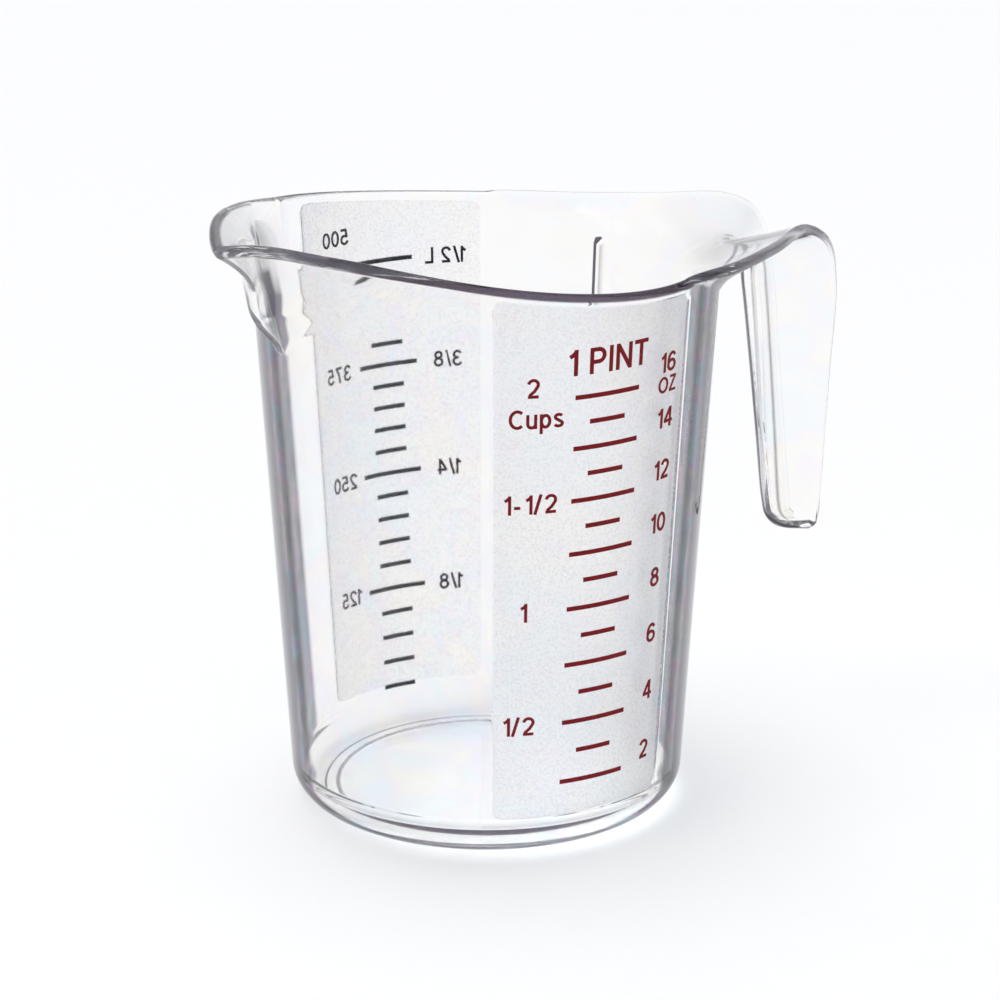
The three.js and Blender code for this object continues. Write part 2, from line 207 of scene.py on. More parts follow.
rib = {
    "angle": 28.5,
    "width": 1.6,
    "height": 1.3,
    "flank": 0.6,
    "length": 11,  # below the place where the wall turns out
}
ribBottom = rootHeight - rib["length"]
ribHalf = math.degrees(rib["width"] / 2 / innerRadius(rootHeight))
ribFlank = ribHalf + math.degrees(rib["flank"] / innerRadius(rootHeight))
panelEdgeAngle = math.degrees(panel["edge"] / wallRadius(panel["bottom"]))


def spaced(start, end, count):
    return [start + (end - start) * (i + 1) / count for i in range(count)]


columns = {"handle": 18, "ribToRim": 20, "rimToPanel": 2, "panel": 40, "panelToSpout": 8, "spout": 110}
halfAngles = [
    0,
    *spaced(0, rib["angle"] - ribFlank, columns["handle"]),
    rib["angle"] - ribHalf,
    rib["angle"],
    rib["angle"] + ribHalf,
    rib["angle"] + ribFlank,
    *spaced(rib["angle"] + ribFlank, handleSpread, columns["ribToRim"]),
    *spaced(handleSpread, panelStart, columns["rimToPanel"]),
    panelStart + panelEdgeAngle,
    *spaced(panelStart + panelEdgeAngle, panelEnd - panelEdgeAngle, columns["panel"]),
    panelEnd,
    *spaced(panelEnd, 180 - spout["spread"], columns["panelToSpout"]),
    *spaced(180 - spout["spread"], 180, columns["spout"]),
]
angles = [-a for a in reversed(halfAngles[1:-1])] + halfAngles
isHandle = [abs(a) <= handleSpread + 1e-9 for a in angles]
firstHandle = isHandle.index(True)
lastHandle = len(angles) - 1 - isHandle[::-1].index(True)


def rootArch(share):
    return share ** handle["archCurve"]


def wallTop(angle):
    share = abs(angle) / handleSpread
    return rimHeight(angle) if share >= 1 else mix(rootHeight, rimHandle, rootArch(share))


cornerTop = vessel["cornerRadius"] * (1 - math.sin(slopeAngle))
plainRows = 14
flaredRows = 64


def rowHeights(angle):
    top = wallTop(angle)
    return [
        cornerTop,
        vessel["heelTop"] - 2 * vessel["heelSlope"],
        vessel["heelTop"] - vessel["heelSlope"],
        vessel["heelTop"],
        panel["bottom"] - panel["edge"],
        panel["bottom"],
        *spaced(panel["bottom"], ribBottom, plainRows),
        *spaced(ribBottom, top - panel["topGap"], flaredRows),
        top - panel["topGap"] + panel["edge"],
        top,
    ]


wallRows = len(rowHeights(0))
heelRows = 3  # below the heel's step
ribFirstRow = heelRows + 2 + plainRows


def bend(start, end, turn):
    out = math.sin(math.radians(turn))
    down = 1 - math.cos(math.radians(turn))
    step = end - start
    return start + Vector((step.x * out, step.y * turn / 90, step.z * down))


def handleStations():  # the web's middle and one free edge, station by station
    root = onVessel(handleSpread, wallRadius(rimHandle), rimHandle)
    bendStart = Vector((handle["reach"] - handle["bendOut"], handle["bridgeWidth"] / 2, crestHeight))
    gripTopHeight = crestHeight - handle["bendDown"]
    gripTop = Vector((handle["reach"] - handle["lean"], handle["widthTop"] / 2, gripTopHeight))
    gripEnd = Vector((handle["reach"], handle["widthFoot"] / 2, gripFoot))
    wallRoot = Vector((wallRadius(rootHeight), 0, rootHeight))
    rise = bridgeHeight - rootHeight
    webTop = Vector((gripTop.x - handle["depthTop"], 0, gripTop.z))
    webEnd = Vector((gripEnd.x - handle["depthFoot"], 0, gripEnd.z))
    bridgeEnd = Vector((webTop.x - 0.7 * rise, 0, bridgeHeight))
    bridgeLine = bendStart - root
    sideways = Vector((-bridgeLine.y, bridgeLine.x, 0)).normalized()
    swell = sideways * handle["bow"] - Vector((0, 0, handle["sag"]))
    nearRim, nearBend = handle["bridgeShares"]
    upperGrip, lowerGrip = handle["gripShares"]
    edges = [
        root,
        root.lerp(bendStart, nearRim) + swell,
        root.lerp(bendStart, nearBend) + swell * 0.7,
        bendStart,
        bend(bendStart, gripTop, handle["edgeBend"]),
        gripTop,
        gripTop.lerp(gripEnd, upperGrip),
        gripTop.lerp(gripEnd, lowerGrip),
        gripEnd,
    ]
    webs = [
        wallRoot,
        wallRoot + Vector((0.22 * rise, 0, 0.66 * rise)),
        wallRoot + Vector((0.95 * rise, 0, rise)),
        bridgeEnd,
        bend(bridgeEnd, webTop, handle["webBend"]),
        webTop - Vector((0, 0, handle["webTopDrop"])),
        webTop.lerp(webEnd, upperGrip),
        webTop.lerp(webEnd, lowerGrip),
        webEnd,
    ]
    for degrees in (30, 60, 90):  # round the foot
        turn = math.radians(degrees)
        level = gripFoot - handle["footDrop"] * math.sin(turn)
        halfWidth = handle["widthFoot"] / 2 * (1 - handle["footNarrowing"] * (1 - math.cos(turn)))
        depth = handle["depthFoot"] * math.cos(0.9 * turn)
        edges.append(Vector((handle["reach"], halfWidth, level + handle["footEdgeLift"])))
        webs.append(Vector((handle["reach"] - depth, 0, level)))
    return edges, webs


def alongCurve(points, share):  # centripetal Catmull-Rom through the stations
    place = (len(points) - 1) * share
    i = min(int(place), len(points) - 2)
    w = place - i
    p1, p2 = points[i], points[i + 1]
    p0 = points[i - 1] if i > 0 else p1 * 2 - p2
    p3 = points[i + 2] if i + 2 < len(points) else p2 * 2 - p1
    d0, d1, d2 = [max(1e-4, (b - a).length) ** 0.5 for a, b in ((p0, p1), (p1, p2), (p2, p3))]
    t1 = ((p1 - p0) / d0 - (p2 - p0) / (d0 + d1) + (p2 - p1) / d1) * d1
    t2 = ((p2 - p1) / d1 - (p3 - p1) / (d1 + d2) + (p3 - p2) / d2) * d1
    c2 = (p2 - p1) * 3 - t1 * 2 - t2
    c3 = (p1 - p2) * 2 + t1 + t2
    return p1 + t1 * w + c2 * w**2 + c3 * w**3


edges, webs = handleStations()
handleRows = (len(edges) - 1) * handle["rowsPerStation"]
gripRows = [station * handle["rowsPerStation"] for station in handle["gripStations"]]


def flankRise(across, webShare, roundShare):  # from the web to the free edge of the channel
    def ramp(place):
        return place - webShare + math.hypot(place - webShare, roundShare)

    return (ramp(across) - ramp(0)) / (ramp(1) - ramp(0))


def webHalf(row):
    down = min(1, max(0, (row - gripRows[0]) / (gripRows[1] - gripRows[0])))
    return mix(handle["webWidthTop"], handle["webWidthFoot"], down) / 2


def handlePoint(row, angle):
    edge = alongCurve(edges, row / handleRows)
    web = alongCurve(webs, row / handleRows)
    side = math.copysign(1, angle)
    share = min(1, abs(angle) / handleSpread)
    spread = math.radians(handleSpread)
    arcAcross = math.sin(share * spread) / math.sin(spread)
    arcDepth = (1 - math.cos(share * spread)) / (1 - math.cos(spread))
    channelRise = flankRise(share, webHalf(row) / edge.y, handle["foldRound"] / edge.y)
    change = smooth(row / (handle["rowsPerStation"] * handle["channelStation"]))
    depth = mix(arcDepth, channelRise, change)
    height = mix(rootArch(share), channelRise, change)
    across = mix(arcAcross, share, change)
    return Vector((mix(web.x, edge.x, depth), side * edge.y * across, mix(web.z, edge.z, height)))


def skinColumn(j):
    angle = angles[j]
    top = wallTop(angle)
    column = [onVessel(angle, wallRadius(z) + spoutFlare(angle, top - z), z) for z in rowHeights(angle)]
    if isHandle[j]:
        column += [handlePoint(row, angle) for row in range(1, handleRows + 1)]
    return column


def skinNormals(skin):
    normals = [[Vector() for _ in column] for column in skin]
    for j in range(len(skin)):
        k = (j + 1) % len(skin)
        for i in range(min(len(skin[j]), len(skin[k])) - 1):
            face = (skin[k][i + 1] - skin[j][i]).cross(skin[j][i + 1] - skin[k][i])
            for a, b in ((j, i), (k, i), (j, i + 1), (k, i + 1)):
                normals[a][b] += face
    return [[n.normalized() for n in column] for column in normals]


def panelGaps(angle, height):  # how far a point lies inside a panel's side, bottom and top
    turn = math.radians(panel["halfAngle"] - abs(abs(angle) - 90))
    top = wallTop(angle) - panel["topGap"]
    return Vector((turn * wallRadius(height), height - panel["bottom"], top - height))


def panelRise(gaps):
    sideways = max(0, panel["corner"] - gaps.x)
    lengthways = max(0, panel["corner"] - min(gaps.y, gaps.z))
    inside = panel["corner"] - math.hypot(sideways, lengthways)
    return panel["rise"] * smooth(inside / panel["edge"] + 1e-6)


def onRib(angle, row):
    return abs(abs(angle) - rib["angle"]) <= ribHalf + 1e-6 and ribFirstRow <= row < wallRows


# how much painted shade the plastic's colour takes: up to 1 where it turns away from the eye,
# up to 2 wherever light goes in, and down to -1 wherever light comes out
paintedShade = {
    "rim": 2.0,
    "rimBand": 0.3,
    "rimTurn": 100,  # how far over the edge the painted shade of the rim goes, in degrees from the outside
    "spoutTurn": 12,  # it goes less far over by the spout and along the handle
    "handleTurn": 45,
    "turnFade": 24,
    "turnPerDegree": 2.4,
    "spoutFrom": 118,  # angle round the vessel where the edge begins to change, and its fades
    "spoutFade": 14,
    "handleFade": 12,
    "crest": 1.85,
    "rimToCrest": 3,  # in stations along the handle
    "crestEnd": 3.5,
    "crestToGrip": 2,
    "spout": 0.05,
    "spoutDepth": 8,
    "spoutDepthFade": 10,
    "spoutSpread": 45,
    "spoutSpreadFade": 25,
    "handle": 0.4,
    "gripEdge": 0.1,
    "rib": (1.6, 0.5, 8.0),  # painted shade lines of the rib: its handle side, middle and spout side, where more than 2 is a wider line
    # painted shade under the foot ring and on a band of the cove, where light comes out
    "foot": -0.7,
    "cove": -1.0,
    "coveTurn": (50, 80),
    "fold": -0.75,  # painted shade line along the folds inside the grip
    "foldLine": 0.55,
    "foldPlace": 0.8,  # from the web's edge to that line
    "foldReach": 0.34,  # painted shade comes sooner on the folds of the grip
    "foldWidth": 2.7,
    "foldSharpness": 3,
    "foldStart": 3.2,  # in stations along the handle
}

cornerSteps = 12
coveSteps = 14
edgeStep = 20  # degrees between the rows of the rounded edge
floorMargin = 0.5  # last row of the floor, below and inside, before it turns
coveMargin = 0.6
cornerClear = 0.2


def buildMoulding():
    skin = [skinColumn(j) for j in range(len(angles))]
    normals = skinNormals(skin)
    points, places, tints, reaches, faces = [], [], [], [], []
    offPanel = Vector((-20, -20, -20))  # well outside both panels

    def addPoint(p, place=offPanel, tint=1.0, reach=0.0):
        points.append(p * mm)
        places.append(place)
        tints.append(tint)
        reaches.append(reach)
        return len(points) - 1

    def addRing(angle, profile, clearRadius):  # the floor stays clear, the corner takes painted shade
        return [
            addPoint(onVessel(angle, r, z), tint=bandTint if bandTint else float(r > clearRadius))
            for r, z, bandTint in profile
        ]

    def edgeSlate(i):  # painted shade along the rim and the free edges of the handle
        if i < wallRows:
            return paintedShade["rim"]
        station = (i - wallRows + 1) / handle["rowsPerStation"]
        pastCrest = smooth((station - paintedShade["crestEnd"]) / paintedShade["crestToGrip"])
        towardsGrip = mix(paintedShade["crest"], paintedShade["gripEdge"], pastCrest)
        return mix(paintedShade["rim"], towardsGrip, smooth(station / paintedShade["rimToCrest"]))

    def offHandle(j):  # 0 where the rim meets the handle, 1 a little way round
        return smooth((abs(angles[j]) - handleSpread) / paintedShade["handleFade"])

    def edgeInside(j, i):  # the edge's inner half stays clear by the spout and the handle
        if i >= wallRows:
            return 0
        spoutEnd = paintedShade["spoutFrom"] + paintedShade["spoutFade"]
        return smooth((spoutEnd - abs(angles[j])) / paintedShade["spoutFade"]) * offHandle(j)

    def edgeTurn(j, i):  # how far over the edge its painted shade goes
        if i >= wallRows:
            return paintedShade["handleTurn"]
        pastRim = max(0, abs(angles[j]) - paintedShade["spoutFrom"])
        bySpout = max(paintedShade["spoutTurn"], paintedShade["rimTurn"] - paintedShade["turnPerDegree"] * pastRim)
        return min(bySpout, mix(paintedShade["handleTurn"], paintedShade["rimTurn"], offHandle(j)))

    def nearFold(j, i, place, width, sharpness):  # 1 on the folds of the grip
        row = i - wallRows + 1
        off = abs(abs(skin[j][i].y) - webHalf(row) - place) / width
        onGrip = smooth(row / handle["rowsPerStation"] - paintedShade["foldStart"])
        return smooth((1 - off) * sharpness) * onGrip

    # painted shade comes sooner near the grip's folds
    def foldReach(j, i):
        return paintedShade["foldReach"] * nearFold(j, i, 0, paintedShade["foldWidth"], paintedShade["foldSharpness"])

    # painted shade on the inside of the wall, and a painted shade line along the grip's folds
    def insideSlate(j, i):
        if i < wallRows:
            return min(1, wallSlate(j, i))
        return paintedShade["fold"] * nearFold(j, i, paintedShade["foldPlace"], paintedShade["foldLine"], 1)

    # painted shade on the outside of the wall and handle, faint by the spout, and along the rim band
    def wallSlate(j, i):
        if i >= wallRows:
            return paintedShade["handle"]
        if skin[j][i].z > wallTop(angles[j]) - paintedShade["rimBand"] and not isHandle[j]:
            return edgeSlate(i)
        below = wallTop(angles[j]) - skin[j][i].z - paintedShade["spoutDepth"]
        beside = 180 - abs(angles[j]) - paintedShade["spoutSpread"]
        away = max(smooth(below / paintedShade["spoutDepthFade"]), smooth(beside / paintedShade["spoutSpreadFade"]))
        return mix(paintedShade["spout"], 1.0, away)

    def addFace(*corners):
        faces.append(corners)

    # underside: recess, foot ring and rounded corner
    stepTop = footInner - vessel["footStep"]
    soft = vessel["footSoft"]
    lift = vessel["footLift"]
    groove = vessel["footGroove"]
    # the foot ring's edges and groove carry painted shade
    under = [
        (footInner * 0.4, vessel["footRecess"], 0),
        (footInner * 0.8, vessel["footRecess"], 0),
        (stepTop - floorMargin, vessel["footRecess"], 0),
        (stepTop, vessel["footRecess"], paintedShade["foot"]),
        (footInner - soft, lift, paintedShade["foot"]),
        (footInner + soft, 0, 0),
        (footOuter - soft, 0, 0),
        (footOuter + soft / 2, lift, paintedShade["foot"]),
        (footOuter + vessel["grooveWidth"], groove, paintedShade["foot"]),
        (footOuter + vessel["grooveEnd"], groove + lift, 0),
    ]
    for step in range(3, cornerSteps):  # the groove takes the place of the first steps
        turn = (math.pi / 2 - slopeAngle) * step / cornerSteps
        under.append((
            footOuter + vessel["cornerRadius"] * math.sin(turn),
            vessel["cornerRadius"] * (1 - math.cos(turn)),
            0,
        ))
    # inside: floor and cove
    coveHeight = floorTop + coveRadius
    coveCentre = innerRadius(coveHeight) - coveRadius * slopeLength
    inside = [(r, floorTop, 0) for r in (coveCentre * 0.4, coveCentre * 0.8, coveCentre - coveMargin)]
    for step in range(coveSteps):
        turn = (math.pi / 2 - slopeAngle) * step / coveSteps
        # a band of the cove takes painted shade
        inBand = paintedShade["coveTurn"][0] < math.degrees(turn) < paintedShade["coveTurn"][1]
        inside.append((
            coveCentre + coveRadius * math.sin(turn),
            coveHeight - coveRadius * math.cos(turn),
            paintedShade["cove"] if inBand else 0,
        ))

    outer, inner = [], []
    for j, column in enumerate(skin):
        low = addRing(angles[j], under, footOuter + cornerClear)
        gaps = [panelGaps(angles[j], p.z) for p in column]
        outer.append(low + [
            addPoint(p + normals[j][i] * panelRise(gaps[i]), gaps[i], wallSlate(j, i), foldReach(j, i))
            for i, p in enumerate(column)
        ])
        low = addRing(angles[j], inside, coveCentre + coveRadius / 2)
        for i, p in enumerate(column):
            if onRib(angles[j], i):
                # the rib's inner face carries painted shade lines
                side = round((abs(angles[j]) - rib["angle"]) / ribHalf)
                ribPoint = onVessel(angles[j], innerRadius(p.z) - rib["height"], p.z)
                low.append(addPoint(ribPoint, tint=paintedShade["rib"][1 + side]))
                continue
            depth = vessel["wallThickness"] + (vessel["heelStep"] if i < heelRows else 0)
            low.append(addPoint(p - normals[j][i] * depth, tint=insideSlate(j, i)))
        inner.append(low)
    for j in range(len(skin)):
        k = (j + 1) % len(skin)
        for i in range(min(len(outer[j]), len(outer[k])) - 1):
            addFace(outer[j][i], outer[k][i], outer[k][i + 1], outer[j][i + 1])
        for i in range(min(len(inner[j]), len(inner[k])) - 1):
            addFace(inner[j][i + 1], inner[k][i + 1], inner[k][i], inner[j][i])
    addFace(*[outer[j][0] for j in reversed(range(len(skin)))])
    addFace(*[inner[j][0] for j in range(len(skin))])

    # rounded free edge: along the rim, out along the handle, round its foot and back
    rim = wallRows - 1
    last = rim + handleRows
    loop = [((lastHandle + s) % len(skin), rim) for s in range(len(skin) - (lastHandle - firstHandle) + 1)]
    loop += [(firstHandle, i) for i in range(rim + 1, last + 1)]
    loop += [(j, last) for j in range(firstHandle + 1, lastHandle + 1)]
    loop += [(lastHandle, i) for i in range(last - 1, rim, -1)]

    strips = []
    half = vessel["wallThickness"] / 2
    for n, (j, i) in enumerate(loop):
        j0, i0 = loop[n - 1]
        j1, i1 = loop[(n + 1) % len(loop)]
        out = normals[j][i].cross(skin[j1][i1] - skin[j0][i0]).normalized() * half * vessel["edgeBulge"]
        middle = skin[j][i] - normals[j][i] * half
        strip = [outer[j][len(under) + i]]
        for turn in range(edgeStep, 180, edgeStep):
            t = math.radians(turn)
            # painted shade over the rounded edge, fading towards its inner half
            over = smooth((turn - edgeTurn(j, i)) / paintedShade["turnFade"] + 0.5)
            tint = mix(edgeSlate(i), edgeInside(j, i), over)
            p = middle + normals[j][i] * half * math.cos(t) + out * math.sin(t)
            strip.append(addPoint(p, tint=tint))
        strips.append(strip + [inner[j][len(inside) + i]])
    for n, strip in enumerate(strips):
        after = strips[(n + 1) % len(strips)]
        for i in range(len(strip) - 1):
            addFace(strip[i], after[i], after[i + 1], strip[i + 1])
    mesh = bpy.data.meshes.new("jugMoulding")
    mesh.from_pydata(points, [], faces)
    stored = mesh.attributes.new("panelPlace", "FLOAT_VECTOR", "POINT")
    stored.data.foreach_set("vector", [n for place in places for n in place])
    # painted shade shares and fold reach, read by the plastic's material
    mesh.attributes.new("paintedShadeShare", "FLOAT", "POINT").data.foreach_set("value", tints)
    mesh.attributes.new("paintedShadeReach", "FLOAT", "POINT").data.foreach_set("value", reaches)
    mesh.polygons.foreach_set("use_smooth", [True] * len(faces))
    mesh.update()
    return mesh


def addObject(name, mesh, *materials):
    made = bpy.data.objects.new(name, mesh)
    bpy.context.scene.collection.objects.link(made)
    for material in materials:
        mesh.materials.append(material)
    return made


# materials

def newGroup(name, inputs, outputs):
    group = bpy.data.node_groups.new(name, "ShaderNodeTree")
    for label, kind, value in inputs:
        group.interface.new_socket(label, in_out="INPUT", socket_type=kind).default_value = value
    for label, kind in outputs:
        group.interface.new_socket(label, in_out="OUTPUT", socket_type=kind)
    return group, group.nodes.new("NodeGroupInput").outputs, group.nodes.new("NodeGroupOutput").inputs


def addNode(tree, kind, links=(), **settings):
    node = tree.nodes.new(kind)
    for name, value in settings.items():
        setattr(node, name, value)
    for socket, source in links:
        if isinstance(source, bpy.types.NodeSocket):
            tree.links.new(source, node.inputs[socket])
        else:
            node.inputs[socket].default_value = source
    return node


def calc(tree, operation, *values):
    return addNode(tree, "ShaderNodeMath", list(enumerate(values)), operation=operation).outputs[0]


def colourRamp(tree, factor, bands):
    node = addNode(tree, "ShaderNodeValToRGB", [("Fac", factor)])
    elements = node.color_ramp.elements
    while len(elements) < len(bands):
        elements.new(0.5)
    for element, (position, colour) in zip(elements, bands):
        element.position = position
        element.color = (*colour, 1)
    return node.outputs["Color"]


def smoothBand(tree, value, band):  # 0 below the band, 1 above it
    node = addNode(
        tree,
        "ShaderNodeMapRange",
        [("Value", value), ("From Min", band[0]), ("From Max", band[1])],
        interpolation_type="SMOOTHSTEP",
    )
    return node.outputs["Result"]


def mixColour(tree, factor, first, second):
    node = addNode(tree, "ShaderNodeMix", [(0, factor), (6, first), (7, second)], data_type="RGBA")
    return node.outputs[2]


def mouldedSkinGroup():  # flow waves and grain of moulded plastic, the rainbow tints of its stresses, and the painted shade of its edges
    group, given, made = newGroup(
        "mouldedSkin",
        [
            ("Wave Size", "NodeSocketFloat", 50.0),
            ("Wave Height", "NodeSocketFloat", 0.0),
            ("Grain Size", "NodeSocketFloat", 3000.0),
            ("Grain Height", "NodeSocketFloat", 0.0),
            ("Tint Size", "NodeSocketFloat", 60.0),
        ],
        [
            ("Grain", "NodeSocketFloat"),
            ("Pale Tint", "NodeSocketColor"),
            ("Edge Tint", "NodeSocketColor"),
            ("Height", "NodeSocketFloat"),
        ],
    )
    place = addNode(group, "ShaderNodeTexCoord").outputs["Object"]
    wave = addNode(group, "ShaderNodeTexNoise", [("Vector", place), ("Scale", given["Wave Size"])])
    grain = addNode(
        group,
        "ShaderNodeTexNoise",
        [("Vector", place), ("Scale", given["Grain Size"]), ("Detail", 3)],
    )
    stress = addNode(
        group,
        "ShaderNodeTexNoise",
        [("Vector", place), ("Scale", given["Tint Size"]), ("Detail", 2), ("Distortion", 1.2)],
    )
    paleTint = colourRamp(group, stress.outputs["Fac"], [
        (0.30, (1.0, 1.0, 1.0)),
        (0.42, (0.95, 0.99, 1.0)),
        (0.48, (0.99, 0.96, 1.0)),
        (0.54, (1.0, 0.99, 0.96)),
        (0.70, (1.0, 1.0, 1.0)),
    ])
    # painted edge shade: dark slate with rainbow tints of stress
    paintedEdgeShade = colourRamp(group, stress.outputs["Fac"], [
        (0.36, (0.038, 0.036, 0.055)),
        (0.44, (0.040, 0.105, 0.130)),
        (0.48, (0.075, 0.055, 0.155)),
        (0.52, (0.170, 0.072, 0.130)),
        (0.56, (0.088, 0.112, 0.100)),
        (0.64, (0.038, 0.036, 0.055)),
    ])
    waveHeight = calc(group, "MULTIPLY", wave.outputs["Fac"], given["Wave Height"])
    height = calc(group, "MULTIPLY_ADD", grain.outputs["Fac"], given["Grain Height"], waveHeight)
    group.links.new(grain.outputs["Fac"], made["Grain"])
    group.links.new(paleTint, made["Pale Tint"])
    group.links.new(paintedEdgeShade, made["Edge Tint"])
    group.links.new(height, made["Height"])
    return group


inkMottle = {"contrast": 2.2, "roughness": 0.35, "roughnessSpread": 0.3}


def inkFilmGroup():  # screen-printed ink: uneven density and a slightly uneven sheen
    group, given, made = newGroup(
        "inkFilm",
        [
            ("Ink", "NodeSocketColor", (0.1, 0.1, 0.1, 1)),
            ("Thin Ink", "NodeSocketColor", (0.2, 0.2, 0.2, 1)),
            ("Mottle Size", "NodeSocketFloat", 900.0),
        ],
        [("Colour", "NodeSocketColor"), ("Roughness", "NodeSocketFloat")],
    )
    place = addNode(group, "ShaderNodeTexCoord").outputs["Object"]
    mottle = addNode(
        group,
        "ShaderNodeTexNoise",
        [("Vector", place), ("Scale", given["Mottle Size"]), ("Detail", 4)],
    ).outputs["Fac"]
    thin = calc(group, "POWER", mottle, inkMottle["contrast"])
    roughness = calc(group, "MULTIPLY_ADD", mottle, inkMottle["roughnessSpread"], inkMottle["roughness"])
    group.links.new(mixColour(group, thin, given["Ink"], given["Thin Ink"]), made["Colour"])
    group.links.new(roughness, made["Roughness"])
    return group


skinGroup = mouldedSkinGroup()
inkGroup = inkFilmGroup()

clearLook = {
    "ior": 1.585,
    "glossTint": (0.14, 0.14, 0.15, 1),
    "polished": 0.03,
    "matt": 0.48,
    "absorbColour": (0.45, 0.43, 0.48, 1),
    "absorbDensity": 15.0,  # per metre of plastic
    "shadowTint": (0.70, 0.715, 0.72, 1),
    "waveSize": 45.0,
    "waveHeight": 0.00002,
    "grainSize": 1900.0,
    "grainHeight": 0.00012,
    "grainShade": (0.80, 0.80, 0.82, 1),
    "grainBand": (0.42, 0.68),
    "tintSize": 62.0,
    "edgeBand": (0.59, 0.64),  # how far a surface turns away before its painted edge shade starts, and until it is full
    # deepest painted edge shade, at the very edges
    "deepBand": (0.68, 0.76),
    "deepPaintedShade": (0.016, 0.014, 0.022, 1),
    "rimPaintedShade": (0.022, 0.0145, 0.024, 1),  # painted shade of the rim band, whichever way the rim faces
    "rimShares": (1.0, 2.0),  # of the painted shade shares stored on the mesh
    "leavingShares": (0.0, -1.0),
    "deepShares": (0.0, 0.2),
}


def newMaterial(name):
    material = bpy.data.materials.new(name)
    material.use_nodes = True
    tree = material.node_tree
    return material, tree, tree.nodes["Principled BSDF"]


# 1 on the scale panels, whose corners are rounded; "panelPlace" holds the gaps to their sides
def mattMask(tree):
    gaps = addNode(tree, "ShaderNodeAttribute", attribute_name="panelPlace").outputs["Vector"]
    split = addNode(tree, "ShaderNodeSeparateXYZ", [(0, gaps)]).outputs
    corner = panel["corner"]
    sideways = calc(tree, "MAXIMUM", calc(tree, "SUBTRACT", corner, split["X"]), 0)
    endGap = calc(tree, "MINIMUM", split["Y"], split["Z"])
    lengthways = calc(tree, "MAXIMUM", calc(tree, "SUBTRACT", corner, endGap), 0)
    square = calc(tree, "MULTIPLY_ADD", sideways, sideways, calc(tree, "MULTIPLY", lengthways, lengthways))
    inside = calc(tree, "SUBTRACT", corner, calc(tree, "SQRT", square))
    ramp = addNode(tree, "ShaderNodeMapRange", [("Value", inside), ("From Max", panel["edge"])])
    return ramp.outputs["Result"]


def clearPlasticMaterial():
    material, tree, shader = newMaterial("clearPlastic")
    mask = mattMask(tree)
    skin = addNode(tree, "ShaderNodeGroup", node_tree=skinGroup)
    for label, key in (
        ("Wave Size", "waveSize"),
        ("Wave Height", "waveHeight"),
        ("Grain Size", "grainSize"),
        ("Tint Size", "tintSize"),
    ):
        skin.inputs[label].default_value = clearLook[key]
    tree.links.new(calc(tree, "MULTIPLY", mask, clearLook["grainHeight"]), skin.inputs["Grain Height"])
    # painted shade: the plastic's colour darkens towards its edges as the surface turns away from the eye,
    # standing in for the dark its edges bend in
    facing = addNode(tree, "ShaderNodeLayerWeight", [("Blend", 0.5)]).outputs["Facing"]
    reach = addNode(tree, "ShaderNodeAttribute", attribute_name="paintedShadeReach").outputs["Fac"]
    grazing = calc(tree, "ADD", facing, reach)
    share = addNode(tree, "ShaderNodeAttribute", attribute_name="paintedShadeShare").outputs["Fac"]
    rim = smoothBand(tree, share, clearLook["rimShares"])
    wall = calc(tree, "MULTIPLY", share, calc(tree, "SUBTRACT", 1.0, rim))
    edge = calc(tree, "MULTIPLY", wall, smoothBand(tree, grazing, clearLook["edgeBand"]))
    deepShare = smoothBand(tree, wall, clearLook["deepShares"])
    deep = calc(tree, "MULTIPLY", deepShare, smoothBand(tree, grazing, clearLook["deepBand"]))
    bands = mixColour(tree, edge, skin.outputs["Pale Tint"], skin.outputs["Edge Tint"])
    walls = mixColour(tree, deep, bands, clearLook["deepPaintedShade"])
    # painted shade of the rim band where light goes in, and under the foot and cove where it comes out
    leaving = addNode(tree, "ShaderNodeNewGeometry").outputs["Backfacing"]
    goingIn = calc(tree, "MULTIPLY", rim, calc(tree, "SUBTRACT", 1.0, leaving))
    comingOut = calc(tree, "MULTIPLY", smoothBand(tree, share, clearLook["leavingShares"]), leaving)
    clear = mixColour(tree, calc(tree, "ADD", goingIn, comingOut), walls, clearLook["rimPaintedShade"])
    speckle = calc(tree, "MULTIPLY", mask, smoothBand(tree, skin.outputs["Grain"], clearLook["grainBand"]))
    tree.links.new(mixColour(tree, speckle, clear, clearLook["grainShade"]), shader.inputs["Base Color"])
    roughness = addNode(
        tree,
        "ShaderNodeMapRange",
        [("Value", mask), ("To Min", clearLook["polished"]), ("To Max", clearLook["matt"])],
    )
    bump = addNode(tree, "ShaderNodeBump", [("Height", skin.outputs["Height"]), ("Distance", 1.0)])
    tree.links.new(roughness.outputs["Result"], shader.inputs["Roughness"])
    tree.links.new(bump.outputs["Normal"], shader.inputs["Normal"])
    shader.inputs["IOR"].default_value = clearLook["ior"]
    shader.inputs["Specular Tint"].default_value = clearLook["glossTint"]
    shader.inputs["Transmission Weight"].default_value = 1
    # lamps shine through, so that the jug throws a pale shadow
    rays = addNode(tree, "ShaderNodeLightPath")
    through = addNode(tree, "ShaderNodeBsdfTransparent", [("Color", clearLook["shadowTint"])])
    shown = addNode(
        tree,
        "ShaderNodeMixShader",
        [(0, rays.outputs["Is Shadow Ray"]), (1, shader.outputs["BSDF"]), (2, through.outputs["BSDF"])],
    )
    absorb = addNode(
        tree,
        "ShaderNodeVolumeAbsorption",
        [("Color", clearLook["absorbColour"]), ("Density", clearLook["absorbDensity"])],
    )
    end = tree.nodes["Material Output"]
    tree.links.new(shown.outputs["Shader"], end.inputs["Surface"])
    tree.links.new(absorb.outputs["Volume"], end.inputs["Volume"])
    return material


